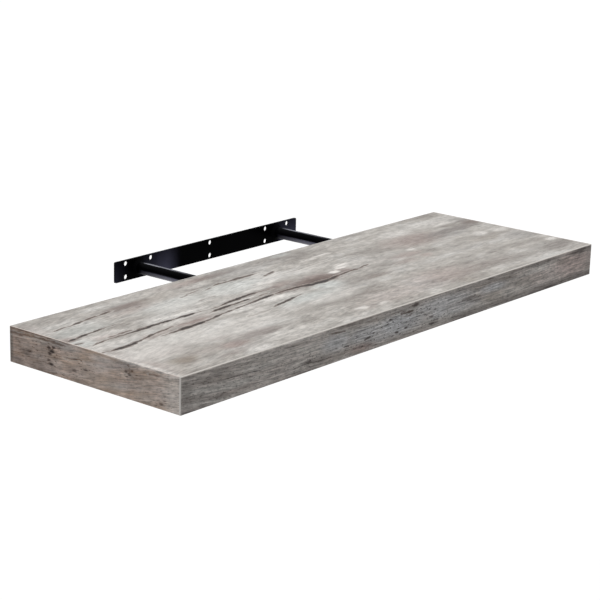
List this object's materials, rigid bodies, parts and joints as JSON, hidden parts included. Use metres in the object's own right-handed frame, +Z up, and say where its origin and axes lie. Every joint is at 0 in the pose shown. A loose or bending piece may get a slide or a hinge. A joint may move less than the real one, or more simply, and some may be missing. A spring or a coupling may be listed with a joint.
{
  "type": "floating wall shelf",
  "caption": "Straight hollow-core floating shelf with a weathered wood finish that slides on to the rods of a flat steel wall bracket.",
  "frame": {"origin": "centre of the wall plate's back face, which lies on the wall", "axes": "+X along the shelf to the right, +Y into the wall, +Z up"},
  "size_m": [0.61, 0.304, 0.032],
  "materials": {
    "powder_coat": "satin",
    "decor_laminate": "matte",
    "edge_band": "matte",
    "fibreboard": "matte",
    "kraft_paper": "matte",
    "staple_steel": "satin"
  },
  "bodies": {
    "bracket": {"wall_plate": "powder_coat", "left_rod": "powder_coat", "right_rod": "powder_coat", "left_weld": "powder_coat", "right_weld": "powder_coat"},
    "shelf": {"top_laminate": "decor_laminate", "bottom_laminate": "decor_laminate", "front_edge_band": "edge_band", "left_edge_band": "edge_band", "right_edge_band": "edge_band", "top_skin": "fibreboard", "bottom_skin": "fibreboard", "front_rail": "fibreboard", "back_rail": "fibreboard", "left_end_rail": "fibreboard", "right_end_rail": "fibreboard", "left_guide_block": "fibreboard", "right_guide_block": "fibreboard", "left_core": "kraft_paper", "centre_core": "kraft_paper", "right_core": "kraft_paper", "frame_staples": "staple_steel"}
  },
  "joints": [
    {"name": "shelf_slide", "type": "slide", "parent": "bracket", "child": "shelf", "axis": [0, 1, 0], "range_m": [-0.0465, 0.104]}
  ]
}
